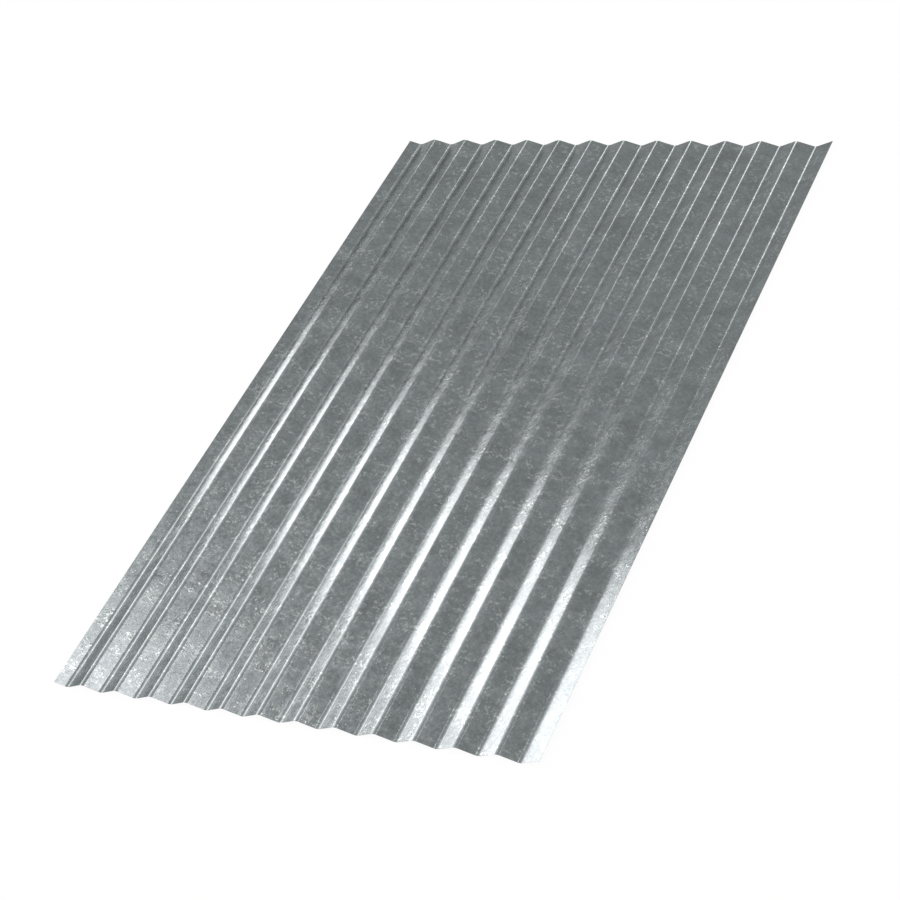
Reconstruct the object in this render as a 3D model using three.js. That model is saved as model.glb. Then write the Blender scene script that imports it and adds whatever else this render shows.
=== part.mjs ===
// A corrugated sheet of galvanised steel, cold rolled from one flat strip.
//
// Millimetres. X runs across the waves, Y along them and Z up. The origin is the
// middle of the sheet's footprint, level with the undersides of its valleys.

import * as THREE from 'three';

// ---- Driving dimensions ----

const COVER_WIDTH = 1100; // the width that one sheet covers when its edges lap
const WAVES_IN_COVER = 12; // whole waves in that width
const WAVE_HEIGHT = 15; // from a valley up to a crown, on the same face
const BEND_RADIUS = 19; // at mid thickness, alike on crowns and valleys
const SHEET_THICKNESS = 0.5;
const SHEET_LENGTH = 1865; // along the waves

const LEFT_EDGE_REACH = 31; // from the middle of the first valley out to the left edge
const RIGHT_EDGE_REACH = 46.5; // from the middle of the last valley out to the right edge

const FACETS_PER_BEND = 9; // an odd number leaves a level facet on crowns and valleys
const NARROWEST_FACET = 0.05;

// ---- The rolled wave ----

// Each bend is an arc, a valley's centre above the sheet and a crown's below it. The
// straight webs between them are tangent to both arcs, so they all have one slope.

const pitch = COVER_WIDTH / WAVES_IN_COVER;
const halfPitch = pitch / 2;

// Arcs that meet with no web between them have the largest radius that a wave can hold.
const fullestRadius = (halfPitch ** 2 + WAVE_HEIGHT ** 2) / (4 * WAVE_HEIGHT);
const bendRadius = Math.min(BEND_RADIUS, fullestRadius);

const centreRise = WAVE_HEIGHT - 2 * bendRadius;
const centreDistance = Math.hypot(halfPitch, centreRise);
const webSlope = Math.atan2(centreRise, halfPitch) + Math.asin(2 * bendRadius / centreDistance);
const bendHalfWidth = bendRadius * Math.sin(webSlope);

// Bends are counted from the first valley, so even ones are valleys and odd ones are
// crowns. Past the first and last valleys a flank runs straight up to each cut edge.
const lastValley = 2 * WAVES_IN_COVER;

// The line at mid thickness, with x from the middle of the first valley.
function midLine(x) {
  const bend = THREE.MathUtils.clamp(Math.round(x / halfPitch), 0, lastValley);
  const fromBend = x - bend * halfPitch;
  const onArc = Math.abs(fromBend) < bendHalfWidth;
  const turn = onArc ? Math.asin(fromBend / bendRadius) : Math.sign(fromBend) * webSlope;
  const alongWeb = onArc ? 0 : Math.abs(fromBend) - bendHalfWidth;
  const lift = bendRadius * (1 - Math.cos(turn)) + alongWeb * Math.tan(webSlope);
  const isValley = bend % 2 === 0;
  return {
    x,
    z: isValley ? lift : WAVE_HEIGHT - lift,
    slope: isValley ? turn : -turn,
  };
}

// ---- The section ----

const leftEdge = -LEFT_EDGE_REACH;
const rightEdge = COVER_WIDTH + RIGHT_EDGE_REACH;

// The x of every fold between facets, from one cut edge to the other.
function foldLines() {
  const folds = [leftEdge];
  for (let bend = 0; bend <= lastValley; bend += 1) {
    for (let facet = 0; facet <= FACETS_PER_BEND; facet += 1) {
      const turn = webSlope * (2 * facet / FACETS_PER_BEND - 1);
      const fold = bend * halfPitch + bendRadius * Math.sin(turn);
      const clearOfLast = fold > folds.at(-1) + NARROWEST_FACET;
      const clearOfEdge = fold < rightEdge - NARROWEST_FACET;
      if (clearOfLast && clearOfEdge) folds.push(fold);
    }
  }
  return [...folds, rightEdge];
}

// One face of the sheet: side is 1 for the upper face and -1 for the lower one.
function faceLine(side) {
  const offset = side * SHEET_THICKNESS / 2;
  return foldLines().map((fold) => {
    const { x, z, slope } = midLine(fold);
    return new THREE.Vector2(x - offset * Math.sin(slope), z + offset * Math.cos(slope));
  });
}

function sheetSection() {
  return new THREE.Shape([...faceLine(-1), ...faceLine(1).reverse()]);
}

// ---- The sheet ----

function galvanisedSteel() {
  return new THREE.MeshStandardMaterial({
    color: new THREE.Color(0.34, 0.37, 0.38),
    roughness: 0.2,
    metalness: 1,
  });
}

function corrugatedSheet() {
  const geometry = new THREE.ExtrudeGeometry(sheetSection(), {
    depth: SHEET_LENGTH,
    bevelEnabled: false,
  });
  // The section is drawn upright, and a quarter turn lays its extrusion along Y.
  geometry.rotateX(Math.PI / 2);
  geometry.translate(-(leftEdge + rightEdge) / 2, SHEET_LENGTH / 2, SHEET_THICKNESS / 2);
  const mesh = new THREE.Mesh(geometry, galvanisedSteel());
  mesh.name = 'corrugated_sheet';
  return mesh;
}

const group = new THREE.Group();
group.add(corrugatedSheet());

export default group;
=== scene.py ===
"""A corrugated sheet of galvanised steel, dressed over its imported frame."""

import math

import bpy
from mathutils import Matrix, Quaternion, Vector


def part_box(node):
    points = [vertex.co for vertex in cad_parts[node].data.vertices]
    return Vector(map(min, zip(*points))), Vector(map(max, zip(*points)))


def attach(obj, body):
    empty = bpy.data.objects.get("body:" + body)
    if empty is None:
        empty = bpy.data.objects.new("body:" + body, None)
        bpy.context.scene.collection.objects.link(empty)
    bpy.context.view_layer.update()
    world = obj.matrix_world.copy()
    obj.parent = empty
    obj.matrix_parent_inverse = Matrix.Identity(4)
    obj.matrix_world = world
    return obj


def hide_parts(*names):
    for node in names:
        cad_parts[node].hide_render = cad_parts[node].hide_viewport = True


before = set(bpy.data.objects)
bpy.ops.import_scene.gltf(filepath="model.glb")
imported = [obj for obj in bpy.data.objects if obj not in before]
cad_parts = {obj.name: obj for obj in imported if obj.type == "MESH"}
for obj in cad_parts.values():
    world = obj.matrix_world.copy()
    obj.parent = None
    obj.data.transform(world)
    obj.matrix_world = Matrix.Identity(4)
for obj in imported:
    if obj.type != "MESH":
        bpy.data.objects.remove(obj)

bl_info = {
    "name": "Corrugated Sheet",
    "version": (1, 0, 0),
    "blender": (4, 5, 0),
    "location": "View3D > Sidebar > Corrugated Sheet",
    "description": "Rolls a galvanised corrugated sheet and sets a plain studio round it",
    "category": "Object",
}

CAD_SHEET = "corrugated_sheet"
CAD_LOWEST, CAD_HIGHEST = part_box(CAD_SHEET)

# How finely the waves are cut into faces.
FACETS_IN_BEND = 14
FACETS_IN_WEB = 4
ROWS_ALONG_SHEET = 80

# Corners sharper than this stay crisp, which is the cut edges and nothing else.
CRISP_ANGLE = math.radians(40)

# Vertices closer than this are one vertex, on the flat lattice and on the rolled sheet.
SAME_IN_LATTICE = 0.001
SAME_ON_SHEET = 0.00001

# The surface strays in slow swells, so many to the metre, longer along the sheet than
# across it.
SWELLS_IN_METRE = 9.0
SWELL_STRETCH = 0.6
SWELL_SEED = 4.0

# How finely the zinc is grained.
CRYSTALS_IN_METRE = 500

# Lamps stand so far off that every part of the sheet mirrors them in one direction.
LAMP_DISTANCE = 40.0
LAMP_COLOUR = (1.045, 1.0, 1.0)

# The floor is seen as this much plain white, and for the rest as matt paint in the light.
WHITE_SHARE = 0.93
WHITE_LEVEL = 1.02
FLOOR_RADIUS = 60.0
FLOOR_CORNERS = 96


# ---- Sizes and colours that a user would change ----


class SheetSizes(bpy.types.PropertyGroup):
    """The driving sizes of the rolled sheet."""

    cover_width: bpy.props.FloatProperty(
        name="Cover Width",
        description="Width that one sheet covers when its edges lap",
        default=1.1,
        unit="LENGTH",
    )
    waves_in_cover: bpy.props.IntProperty(
        name="Waves In Cover",
        description="Whole waves in the cover width",
        default=12,
        min=1,
    )
    wave_height: bpy.props.FloatProperty(
        name="Wave Height",
        description="From a valley up to a crown, on the same face",
        default=0.015,
        unit="LENGTH",
        precision=4,
    )
    bend_radius: bpy.props.FloatProperty(
        name="Bend Radius",
        description="Radius of crowns and valleys at mid thickness",
        default=0.019,
        unit="LENGTH",
        precision=4,
    )
    thickness: bpy.props.FloatProperty(
        name="Thickness",
        description="Thickness of the strip that the sheet is rolled from",
        default=0.0005,
        unit="LENGTH",
        precision=5,
    )
    length: bpy.props.FloatProperty(
        name="Length",
        description="Length of the sheet along its waves",
        default=CAD_HIGHEST.y - CAD_LOWEST.y,
        unit="LENGTH",
    )
    left_reach: bpy.props.FloatProperty(
        name="Left Reach",
        description="From the middle of the first valley out to the left edge",
        default=0.031,
        unit="LENGTH",
        precision=4,
    )
    right_reach: bpy.props.FloatProperty(
        name="Right Reach",
        description="From the middle of the last valley out to the right edge",
        default=0.0465,
        unit="LENGTH",
        precision=4,
    )
    unevenness: bpy.props.FloatProperty(
        name="Unevenness",
        description="How far the rolled surface strays from its true shape",
        default=0.00006,
        unit="LENGTH",
        precision=5,
    )


class SheetFinish(bpy.types.PropertyGroup):
    """The zinc coating and its marks."""

    zinc: bpy.props.FloatVectorProperty(
        name="Zinc",
        description="Colour of the dulled zinc coating",
        default=(0.331, 0.364, 0.374),
        subtype="COLOR",
        size=3,
        min=0,
        max=1,
    )
    bright_zinc: bpy.props.FloatVectorProperty(
        name="Bright Zinc",
        description="Colour of the blobs, specks and scratches where the coating is bright",
        default=(0.722, 0.78, 0.742),
        subtype="COLOR",
        size=3,
        min=0,
        max=1,
    )
    bare_steel: bpy.props.FloatVectorProperty(
        name="Bare Steel",
        description="Colour of the steel on the sheared edges",
        default=(0.48, 0.48, 0.47),
        subtype="COLOR",
        size=3,
        min=0,
        max=1,
    )
    roughness: bpy.props.FloatProperty(
        name="Roughness",
        description="Roughness of the clean coating",
        default=0.18,
        subtype="FACTOR",
        min=0,
        max=1,
    )


class StudioLook(bpy.types.PropertyGroup):
    """The floor and the light around the sheet."""

    floor: bpy.props.FloatVectorProperty(
        name="Floor",
        description="Colour of the floor",
        default=(0.9, 0.9, 0.9),
        subtype="COLOR",
        size=3,
        min=0,
        max=1,
    )
    room_light: bpy.props.FloatProperty(
        name="Room Light",
        description="Strength of the even light from all round",
        default=0.481,
        min=0,
    )


# ---- Nodes written as sums ----


class Value:
    """A node's socket. Sums on it add the Math nodes that they need."""

    def __init__(self, nodes, socket):
        self.nodes = nodes
        self.socket = socket

    def part(self, name):
        """Another output of the same node."""
        return Value(self.nodes, self.nodes.pick(self.socket.node.outputs, name))

    def __add__(self, other):
        return self.nodes.maths("ADD", self, other)

    def __sub__(self, other):
        return self.nodes.maths("SUBTRACT", self, other)

    def __rsub__(self, other):
        return self.nodes.maths("SUBTRACT", other, self)

    def __mul__(self, other):
        return self.nodes.maths("MULTIPLY", self, other)

    def __truediv__(self, other):
        return self.nodes.maths("DIVIDE", self, other)

    __radd__ = __add__
    __rmul__ = __mul__


class Nodes:
    """Adds nodes to one tree and links them."""

    def __init__(self, tree):
        self.tree = tree

    def pick(self, sockets, key):
        """The socket with that number, or the first one in use with that name."""
        if isinstance(key, int):
            return sockets[key]
        return next(socket for socket in sockets if socket.name == key and socket.enabled)

    def add(self, kind, settings=None, inputs=None):
        """One node: its settings first, then the values or links of its sockets."""
        node = self.tree.nodes.new(kind)
        for name, value in (settings or {}).items():
            setattr(node, name, value)
        for key, value in (inputs or {}).items():
            socket = self.pick(node.inputs, key)
            if isinstance(value, Value):
                self.tree.links.new(value.socket, socket)
            else:
                socket.default_value = value
        outputs = [socket for socket in node.outputs if socket.enabled]
        return Value(self, outputs[0]) if outputs else None

    def maths(self, operation, *values):
        """One Math node on those values, in that order."""
        return self.add("ShaderNodeMath", {"operation": operation}, dict(enumerate(values)))


# ---- The rolled sheet ----


def columns_across(inputs):
    """How many columns of faces the flat lattice has.

    Each bend of the cover has its own facets and those of the web on its right, and so
    has one more bend past each side, which is cut back to the sheet's edge.
    """
    bends = inputs.part("Waves In Cover") * 2 + 3
    return bends * (FACETS_IN_BEND + FACETS_IN_WEB)


def bend_and_web(nodes, inputs):
    """Half a pitch, the radius of the bends and the slope of the webs.

    Crowns and valleys share one radius, and each web is tangent to both of its bends.
    """
    half_pitch = inputs.part("Cover Width") / (inputs.part("Waves In Cover") * 2)
    height = inputs.part("Wave Height")
    fullest_radius = (half_pitch * half_pitch + height * height) / (height * 4)
    radius = nodes.maths("MINIMUM", inputs.part("Bend Radius"), fullest_radius)
    rise = height - radius * 2
    spread = nodes.maths("SQRT", half_pitch * half_pitch + rise * rise)
    web_slope = nodes.maths("ARCTAN2", rise, half_pitch)
    web_slope = web_slope + nodes.maths("ARCSINE", radius * 2 / spread)
    return half_pitch, radius, web_slope


def rolled_place(nodes, inputs):
    """Where each vertex of the flat lattice goes.

    A lattice vertex holds its column across the sheet in x, its place along the sheet
    in y, and its face in z, which is 0 for the lower face and 1 for the upper one.
    """
    lattice = nodes.add("ShaderNodeSeparateXYZ", inputs={
        "Vector": nodes.add("GeometryNodeInputPosition"),
    })
    along = lattice.part("Y")
    waves = inputs.part("Waves In Cover")
    height = inputs.part("Wave Height")
    thickness = inputs.part("Thickness")
    half_pitch, radius, web_slope = bend_and_web(nodes, inputs)
    arc_reach = radius * nodes.maths("SINE", web_slope)

    # Columns stand close together round a bend and far apart on a web.
    steps = FACETS_IN_BEND + FACETS_IN_WEB
    column = nodes.maths("ROUND", lattice.part("X") + columns_across(inputs) / 2)
    bend = nodes.maths("FLOOR", (column + 0.5) / steps) - 1
    step = column - (bend + 1) * steps
    arc_step = nodes.maths("MINIMUM", step, FACETS_IN_BEND)
    web_step = step - arc_step
    arc_turn = web_slope * (arc_step * 2 / FACETS_IN_BEND - 1)
    across = bend * half_pitch + radius * nodes.maths("SINE", arc_turn)
    across = across + web_step / FACETS_IN_WEB * (half_pitch - arc_reach * 2)
    left_edge = inputs.part("Left Reach") * -1
    right_edge = inputs.part("Cover Width") + inputs.part("Right Reach")
    across = nodes.maths("MAXIMUM", across, left_edge)
    across = nodes.maths("MINIMUM", across, right_edge)

    # The height and slope of the wave there. Even bends are valleys, odd ones crowns,
    # and past the first and last valleys a flank runs straight up to each cut edge.
    nearest = nodes.maths("ROUND", across / half_pitch)
    nearest = nodes.maths("MAXIMUM", nodes.maths("MINIMUM", nearest, waves * 2), 0)
    offset = across - nearest * half_pitch
    distance = nodes.maths("ABSOLUTE", offset)
    on_arc = nodes.maths("MINIMUM", distance, arc_reach)
    turn = nodes.maths("ARCSINE", on_arc / radius) * nodes.maths("SIGN", offset)
    lift = radius - radius * nodes.maths("COSINE", turn)
    lift = lift + (distance - on_arc) * nodes.maths("TANGENT", web_slope)
    facing = 1 - nodes.maths("FLOORED_MODULO", nearest, 2) * 2
    middle_height = height / 2 - facing * (height / 2 - lift)
    slope = facing * turn

    # Both faces stray together, so the thickness stays even.
    swells = nodes.add("ShaderNodeTexNoise", {"noise_dimensions": "3D"}, {
        "Vector": nodes.add("ShaderNodeCombineXYZ", inputs={
            "X": across, "Y": along * SWELL_STRETCH, "Z": inputs.part("Seed"),
        }),
        "Scale": SWELLS_IN_METRE,
        "Detail": 1.0,
    })
    out = (lattice.part("Z") - 0.5) * thickness + swells * inputs.part("Unevenness")
    centre = (right_edge + left_edge) / 2
    return nodes.add("ShaderNodeCombineXYZ", inputs={
        "X": across - centre - out * nodes.maths("SINE", slope),
        "Y": along,
        "Z": middle_height + thickness / 2 + out * nodes.maths("COSINE", slope),
    })


def rolling_inputs(tree, sizes):
    """Gives the tree one input for each size, and says which socket holds which size."""
    sockets = {}
    for size in SheetSizes.__annotations__:
        setting = sizes.bl_rna.properties[size]
        kind = "NodeSocketInt" if setting.type == "INT" else "NodeSocketFloat"
        socket = tree.interface.new_socket(setting.name, in_out="INPUT", socket_type=kind)
        socket.default_value = setting.default
        sockets[size] = socket.identifier
    seed = tree.interface.new_socket("Seed", in_out="INPUT", socket_type="NodeSocketFloat")
    seed.default_value = SWELL_SEED
    return sockets


def rolling_tree(sizes, material):
    """Geometry Nodes that roll a flat strip into waves, with the sizes as inputs."""
    tree = bpy.data.node_groups.new("Rolled corrugation", "GeometryNodeTree")
    tree.is_modifier = True
    tree.interface.new_socket("Sheet", in_out="OUTPUT", socket_type="NodeSocketGeometry")
    sockets = rolling_inputs(tree, sizes)
    nodes = Nodes(tree)
    inputs = nodes.add("NodeGroupInput")

    # A flat slab, one face deep: a lattice, its copy one unit up, and the rim between.
    columns = columns_across(inputs)
    lattice = nodes.add("GeometryNodeMeshGrid", inputs={
        "Size X": columns,
        "Size Y": inputs.part("Length"),
        "Vertices X": columns + 1,
        "Vertices Y": ROWS_ALONG_SHEET,
    })
    raised = nodes.add("GeometryNodeExtrudeMesh", {"mode": "FACES"}, {
        "Mesh": lattice,
        "Offset": nodes.add("FunctionNodeInputVector", {"vector": (0, 0, 1)}),
        "Offset Scale": 1.0,
        "Individual": False,
    })
    edged = nodes.add(
        "GeometryNodeStoreNamedAttribute",
        {"data_type": "FLOAT", "domain": "FACE"},
        {
            "Geometry": raised,
            "Selection": raised.part("Side"),
            "Name": "cut_edge",
            "Value": 1.0,
        },
    )
    joined = nodes.add("GeometryNodeJoinGeometry", inputs={"Geometry": edged})
    underside = nodes.add("GeometryNodeFlipFaces", inputs={"Mesh": lattice})
    tree.links.new(underside.socket, joined.socket.node.inputs["Geometry"])
    slab = nodes.add("GeometryNodeMergeByDistance", inputs={
        "Geometry": joined, "Distance": SAME_IN_LATTICE,
    })

    rolled = nodes.add("GeometryNodeSetPosition", inputs={
        "Geometry": slab, "Position": rolled_place(nodes, inputs),
    })
    rolled = nodes.add("GeometryNodeMergeByDistance", inputs={
        "Geometry": rolled, "Distance": SAME_ON_SHEET,
    })
    corner = nodes.add("GeometryNodeInputMeshEdgeAngle")
    crisp = nodes.add("FunctionNodeCompare", {"operation": "GREATER_THAN"}, {
        "A": corner, "B": CRISP_ANGLE,
    })
    smooth = nodes.add("GeometryNodeSetShadeSmooth", {"domain": "FACE"}, {
        "Geometry": rolled, "Shade Smooth": True,
    })
    smooth = nodes.add("GeometryNodeSetShadeSmooth", {"domain": "EDGE"}, {
        "Geometry": smooth, "Selection": crisp, "Shade Smooth": False,
    })
    real = nodes.add("GeometryNodeRealizeInstances", inputs={"Geometry": smooth})
    finished = nodes.add("GeometryNodeSetMaterial", inputs={
        "Geometry": real, "Material": material,
    })
    nodes.add("NodeGroupOutput", inputs={"Sheet": finished})
    return tree, sockets


def rolled_sheet(name, sizes, material):
    """A plain mesh of the whole sheet, at rest in the row frame."""
    tree, sockets = rolling_tree(sizes, material)
    blank = bpy.data.objects.new(name + "_blank", bpy.data.meshes.new(name + "_blank"))
    bpy.context.scene.collection.objects.link(blank)
    modifier = blank.modifiers.new("Rolling", "NODES")
    modifier.node_group = tree
    for size, identifier in sockets.items():
        modifier[identifier] = getattr(sizes, size)
    blank.update_tag()
    bpy.context.view_layer.update()
    evaluated = blank.evaluated_get(bpy.context.evaluated_depsgraph_get())
    mesh = bpy.data.meshes.new_from_object(evaluated)
    if not mesh.polygons:
        raise RuntimeError("the rolled sheet came out empty")
    mesh.name = name
    blank.modifiers.clear()
    bpy.data.objects.remove(blank)
    sheet = bpy.data.objects.new(name, mesh)
    bpy.context.scene.collection.objects.link(sheet)
    return sheet


# ---- The zinc coating ----


class ZincPatterns:
    """Patterns over the flat of the sheet, each between 0 and 1."""

    def __init__(self, nodes):
        self.nodes = nodes
        self.place = nodes.add("ShaderNodeTexCoord").part("Object")

    def noise(self, in_metre, detail, roughness=0.5, where=None):
        """Soft noise with so many features to the metre."""
        return self.nodes.add("ShaderNodeTexNoise", {"noise_dimensions": "2D"}, {
            "Vector": where or self.place,
            "Scale": in_metre,
            "Detail": detail,
            "Roughness": roughness,
        })

    def cells(self, in_metre):
        """Cells of uneven shape, so many to the metre: the distance from each middle."""
        return self.nodes.add("ShaderNodeTexVoronoi", {"voronoi_dimensions": "2D"}, {
            "Vector": self.place, "Scale": in_metre,
        })

    def chance(self, cells):
        """Three numbers drawn for each cell, as Red, Green and Blue."""
        return self.nodes.add("ShaderNodeSeparateColor", inputs={"Color": cells.part("Color")})

    def step(self, value, low, high):
        """A soft step from 0 at low to 1 at high."""
        return self.nodes.add("ShaderNodeMapRange", {"interpolation_type": "SMOOTHSTEP"}, {
            "Value": value, "From Min": low, "From Max": high,
        })

    def specks(self, cells_in_metre, share):
        """Round specks, at most one to a cell and in that share of the cells."""
        cells = self.cells(cells_in_metre)
        chance = self.chance(cells)
        size = 0.22 + chance.part("Green") * 0.28
        strength = 0.15 + chance.part("Blue") * 0.38
        shown = self.step(share - chance, low=0.0, high=0.1) * strength
        return self.step(cells / size, low=1.0, high=0.3) * shown

    def scratches(self, angle, shift):
        """Thin dashed scratches, laid at that angle in degrees to the waves."""
        turned = self.nodes.add("ShaderNodeVectorRotate", {"rotation_type": "Z_AXIS"}, {
            "Vector": self.place, "Angle": math.radians(angle),
        })
        scratch_length, scratch_width = 0.11, 0.0014
        drawn_out = self.nodes.add("ShaderNodeMapping", {"vector_type": "POINT"}, {
            "Vector": turned,
            "Location": (shift, shift, 0),
            "Scale": (1 / scratch_length, 1 / scratch_width, 1),
        })
        dashes = self.noise(in_metre=1, detail=0.5, where=drawn_out)
        return self.step(dashes, low=0.72, high=0.80)


def swing(pattern, amount):
    """A pattern's change either way round none, by half that amount at most."""
    return (pattern - 0.5) * amount


def galvanised_zinc(finish):
    """Dull grey zinc with clouds, pale blobs, bright specks and fine scratches."""
    material = bpy.data.materials.new("galvanised_zinc")
    material.use_nodes = True
    material.node_tree.nodes.clear()
    nodes = Nodes(material.node_tree)
    patterns = ZincPatterns(nodes)
    crystals = patterns.cells(CRYSTALS_IN_METRE)
    crystal_tone = patterns.chance(crystals).part("Blue")
    clouds = patterns.noise(in_metre=11, detail=3)
    patches = patterns.noise(in_metre=30, detail=2)
    mottle = patterns.noise(in_metre=110, detail=2)

    # Ragged blobs and round specks both gather in clumps.
    gathering = patterns.noise(in_metre=22, detail=2) * 0.85 + clouds * 0.15
    clumps = patterns.step(gathering, low=0.48, high=0.62)
    ragged = patterns.noise(in_metre=90, detail=2.5, roughness=0.65)
    blobs = patterns.step(ragged, low=0.54, high=0.66) * (0.10 + clumps * 0.38)
    small_specks = patterns.specks(190, share=0.10 + clumps * 0.25)
    large_specks = patterns.specks(90, share=0.06 + clumps * 0.19)
    specks = nodes.maths("MAXIMUM", small_specks, large_specks)
    scratches = nodes.maths(
        "MAXIMUM",
        patterns.scratches(angle=38, shift=3.1),
        patterns.scratches(angle=-66, shift=8.7),
    )
    scratches = scratches * patterns.step(patches, low=0.42, high=0.6)

    bright = nodes.maths("MAXIMUM", blobs, specks)
    bright = nodes.maths("MAXIMUM", bright, scratches * 0.28)
    tone = 1.0 + swing(clouds, 0.34) + swing(patches, 0.31) + swing(mottle, 0.27)
    tone = tone + swing(crystal_tone, 0.14)
    dull = nodes.add("ShaderNodeVectorMath", {"operation": "SCALE"}, {
        "Vector": tuple(finish.zinc), "Scale": tone,
    })
    coated = nodes.add("ShaderNodeMix", {"data_type": "RGBA"}, {
        "Factor": bright, "A": dull, "B": (*finish.bright_zinc, 1),
    })
    edge = nodes.add("ShaderNodeAttribute", {"attribute_name": "cut_edge"}).part("Fac")
    colour = nodes.add("ShaderNodeMix", {"data_type": "RGBA"}, {
        "Factor": edge, "A": coated, "B": (*finish.bare_steel, 1),
    })

    roughness = finish.roughness + swing(clouds, 0.05) + swing(patches, 0.10)
    roughness = roughness + swing(mottle, 0.16)
    roughness = roughness + edge * 0.12 - bright * 0.05 - (clumps - 0.4) * 0.024

    # Heights are in tenths of a millimetre: slow swells, and specks and blobs on them.
    swells = patterns.noise(in_metre=9, detail=2.5)
    relief = swells * 5.0 + specks * 1.7 + blobs * 0.5
    surface = nodes.add("ShaderNodeBump", inputs={
        "Height": relief, "Strength": 1.0, "Distance": 0.0001,
    })

    # Each crystal leans its own way, and leans further in a clump.
    lean = nodes.add("ShaderNodeVectorMath", {"operation": "MULTIPLY_ADD"}, {
        0: crystals.part("Color"), 1: (1, 1, 0), 2: (-0.5, -0.5, 0),
    })
    lean = nodes.add("ShaderNodeVectorMath", {"operation": "SCALE"}, {
        "Vector": lean, "Scale": 0.016 + clumps * 0.010,
    })
    surface = nodes.add("ShaderNodeVectorMath", {"operation": "NORMALIZE"}, {
        0: nodes.add("ShaderNodeVectorMath", {"operation": "ADD"}, {0: surface, 1: lean}),
    })
    shader = nodes.add("ShaderNodeBsdfPrincipled", inputs={
        "Base Color": colour,
        "Metallic": 1.0,
        "Roughness": roughness,
        "Normal": surface,
        "Specular Tint": (0.85, 0.86, 0.86, 1),
    })
    nodes.add("ShaderNodeOutputMaterial", inputs={"Surface": shader})
    return material


# ---- The studio ----


def pointing(azimuth, elevation):
    """A direction, its azimuth in degrees from +Y towards +X."""
    turn = math.radians(azimuth)
    rise = math.radians(elevation)
    level = math.cos(rise)
    return Vector((math.sin(turn) * level, math.cos(turn) * level, math.sin(rise)))


def softbox(name, azimuth, elevation, wide, high, brightness):
    """An area lamp that fills so many degrees of the sheet's sky, facing the sheet."""
    lamp = bpy.data.lights.new(name, "AREA")
    lamp.shape = "RECTANGLE"
    lamp.size = 2 * LAMP_DISTANCE * math.tan(math.radians(wide) / 2)
    lamp.size_y = 2 * LAMP_DISTANCE * math.tan(math.radians(high) / 2)
    lamp.energy = brightness * math.pi * lamp.size * lamp.size_y
    lamp.color = LAMP_COLOUR
    direction = pointing(azimuth, elevation)
    stand = bpy.data.objects.new(name, lamp)
    stand.location = direction * LAMP_DISTANCE
    stand.rotation_mode = "QUATERNION"
    stand.rotation_quaternion = (-direction).to_track_quat("-Z", "Y")
    stand.visible_camera = False
    bpy.context.scene.collection.objects.link(stand)


def floor_paint(look):
    """A pale matt floor that looks white, and still takes a faint shadow."""
    material = bpy.data.materials.new("studio_floor")
    material.use_nodes = True
    material.node_tree.nodes.clear()
    nodes = Nodes(material.node_tree)
    ray = nodes.add("ShaderNodeLightPath")
    seen = nodes.maths("MAXIMUM", ray.part("Is Camera Ray"), ray.part("Is Glossy Ray"))
    seen = nodes.maths("MAXIMUM", seen, ray.part("Is Transmission Ray"))
    matt = nodes.add("ShaderNodeBsdfDiffuse", inputs={"Color": (*look.floor, 1)})
    white = nodes.add("ShaderNodeEmission", inputs={
        "Color": (1, 1, 1, 1), "Strength": WHITE_LEVEL,
    })
    paint = nodes.add("ShaderNodeMixShader", inputs={
        0: seen * WHITE_SHARE, 1: matt, 2: white,
    })
    nodes.add("ShaderNodeOutputMaterial", inputs={"Surface": paint})
    return material


def studio_floor(look):
    """A wide round floor at the height that the sheet lies on."""
    turns = [2 * math.pi * corner / FLOOR_CORNERS for corner in range(FLOOR_CORNERS)]
    rim = [(FLOOR_RADIUS * math.cos(turn), FLOOR_RADIUS * math.sin(turn), 0) for turn in turns]
    mesh = bpy.data.meshes.new("studio_floor")
    mesh.from_pydata(rim, [], [list(range(FLOOR_CORNERS))])
    mesh.materials.append(floor_paint(look))
    floor = bpy.data.objects.new("studio_floor", mesh)
    bpy.context.scene.collection.objects.link(floor)


def studio_light(look):
    """Even light from all round, and softboxes for the waves to mirror."""
    world = bpy.data.worlds.new("studio_room")
    world.use_nodes = True
    level = look.room_light
    world.node_tree.nodes["Background"].inputs["Color"].default_value = (level, level, level, 1)
    bpy.context.scene.world = world

    # Low on the left, for the bright flanks.
    softbox("low_strip", azimuth=-56.8, elevation=8.1, wide=5.3, high=14.8, brightness=3.1)
    softbox("high_strip", azimuth=-61.2, elevation=20.0, wide=5.0, high=18.7, brightness=2.0)
    softbox("wide_softbox", azimuth=-69.6, elevation=31.7, wide=32.0, high=28.3, brightness=0.72)
    softbox("side_softbox", azimuth=-41.0, elevation=31.7, wide=25.2, high=28.3, brightness=0.05)

    # Higher up, for the bends and the tops of the waves.
    softbox("far_softbox", azimuth=-23.9, elevation=34.3, wide=9.0, high=11.1, brightness=2.5)
    softbox("high_softbox", azimuth=-49.9, elevation=54.5, wide=23.4, high=20.6, brightness=0.17)
    softbox("top_softbox", azimuth=-7.0, elevation=79.95, wide=9.0, high=32.9, brightness=2.6)

    # On the other side, for views from behind.
    softbox("key_softbox", azimuth=140, elevation=52, wide=70, high=70, brightness=0.72)


def studio_camera():
    """A long lens above the near right corner, turned a little about its own axis."""
    lens = bpy.data.cameras.new("studio_camera")
    lens.sensor_width = 36
    lens.lens = 85.94
    lens.clip_end = 200
    camera = bpy.data.objects.new("studio_camera", lens)
    place = Vector((2.3975, -2.9388, 3.0500))
    aim = Vector((0.0293, -0.1512, 0))
    roll = math.radians(-23.542)
    camera.location = place
    camera.rotation_mode = "QUATERNION"
    level = (aim - place).to_track_quat("-Z", "Y")
    camera.rotation_quaternion = level @ Quaternion((0, 0, 1), roll)
    bpy.context.scene.collection.objects.link(camera)
    bpy.context.scene.camera = camera


# ---- Operators, panel and registration ----


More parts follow.
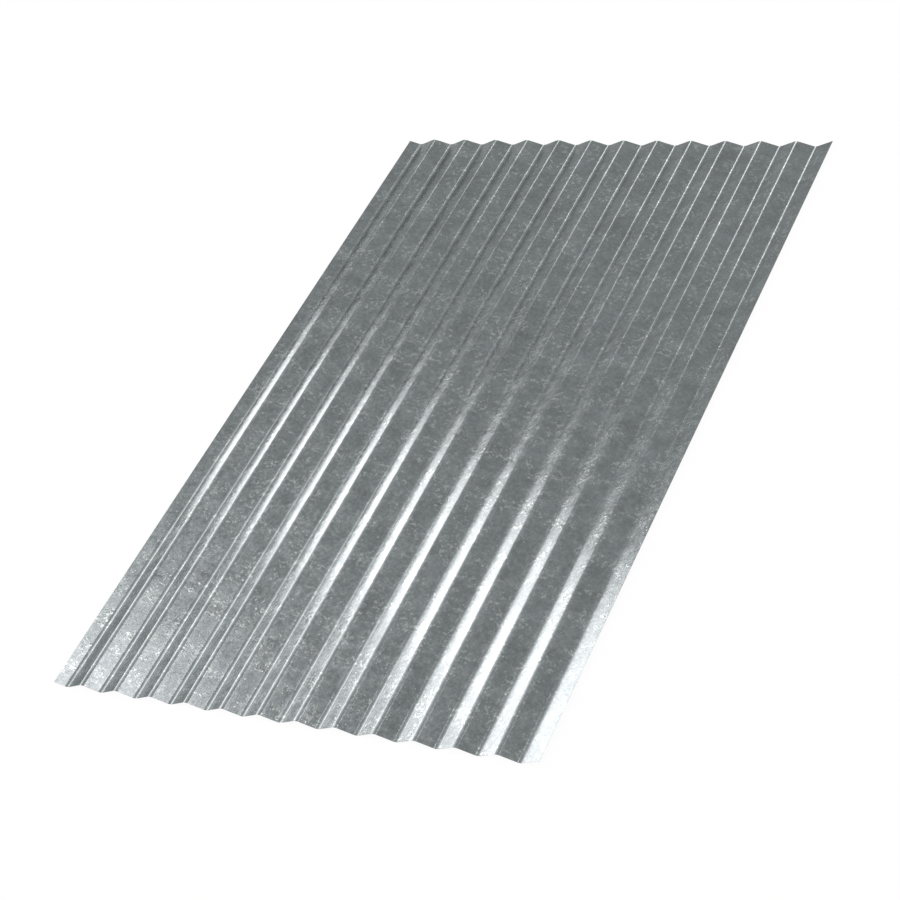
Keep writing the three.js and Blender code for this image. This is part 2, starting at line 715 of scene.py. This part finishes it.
class SHEET_OT_roll_sheet(bpy.types.Operator):
    """Roll the galvanised sheet and put it over its frame"""

    bl_idname = "sheet.roll_sheet"
    bl_label = "Corrugated Sheet"

    def execute(self, context):
        zinc = galvanised_zinc(context.scene.sheet_finish)
        sheet = rolled_sheet("galvanised_sheet", context.scene.sheet_sizes, zinc)
        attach(sheet, "root")
        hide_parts(CAD_SHEET)
        return {"FINISHED"}


class SHEET_OT_set_stage(bpy.types.Operator):
    """Lay the floor, hang the lamps and set the camera"""

    bl_idname = "sheet.set_stage"
    bl_label = "Studio Stage"

    def execute(self, context):
        look = context.scene.studio_look
        studio_floor(look)
        studio_light(look)
        studio_camera()
        context.scene.view_settings.view_transform = "Standard"
        return {"FINISHED"}


class SHEET_PT_parts(bpy.types.Panel):
    """The sheet, its finish and its studio"""

    bl_label = "Corrugated Sheet"
    bl_idname = "SHEET_PT_parts"
    bl_space_type = "VIEW_3D"
    bl_region_type = "UI"
    bl_category = "Corrugated Sheet"

    def draw(self, context):
        groups = (
            (context.scene.sheet_sizes, SheetSizes),
            (context.scene.sheet_finish, SheetFinish),
            (context.scene.studio_look, StudioLook),
        )
        for settings, group in groups:
            column = self.layout.column()
            for name in group.__annotations__:
                column.prop(settings, name)
        self.layout.operator(SHEET_OT_roll_sheet.bl_idname)
        self.layout.operator(SHEET_OT_set_stage.bl_idname)


CLASSES = (
    SheetSizes,
    SheetFinish,
    StudioLook,
    SHEET_OT_roll_sheet,
    SHEET_OT_set_stage,
    SHEET_PT_parts,
)


def register():
    """Adds the classes, and puts the settings on the scene."""
    for kind in CLASSES:
        bpy.utils.register_class(kind)
    bpy.types.Scene.sheet_sizes = bpy.props.PointerProperty(type=SheetSizes)
    bpy.types.Scene.sheet_finish = bpy.props.PointerProperty(type=SheetFinish)
    bpy.types.Scene.studio_look = bpy.props.PointerProperty(type=StudioLook)


def unregister():
    """Takes the settings off the scene, and the classes away."""
    del bpy.types.Scene.studio_look
    del bpy.types.Scene.sheet_finish
    del bpy.types.Scene.sheet_sizes
    for kind in reversed(CLASSES):
        bpy.utils.unregister_class(kind)


def main():
    """Makes the sheet and its stage."""
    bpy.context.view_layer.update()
    register()
    bpy.ops.sheet.roll_sheet()
    bpy.ops.sheet.set_stage()


if __name__ == "__main__":
    main()
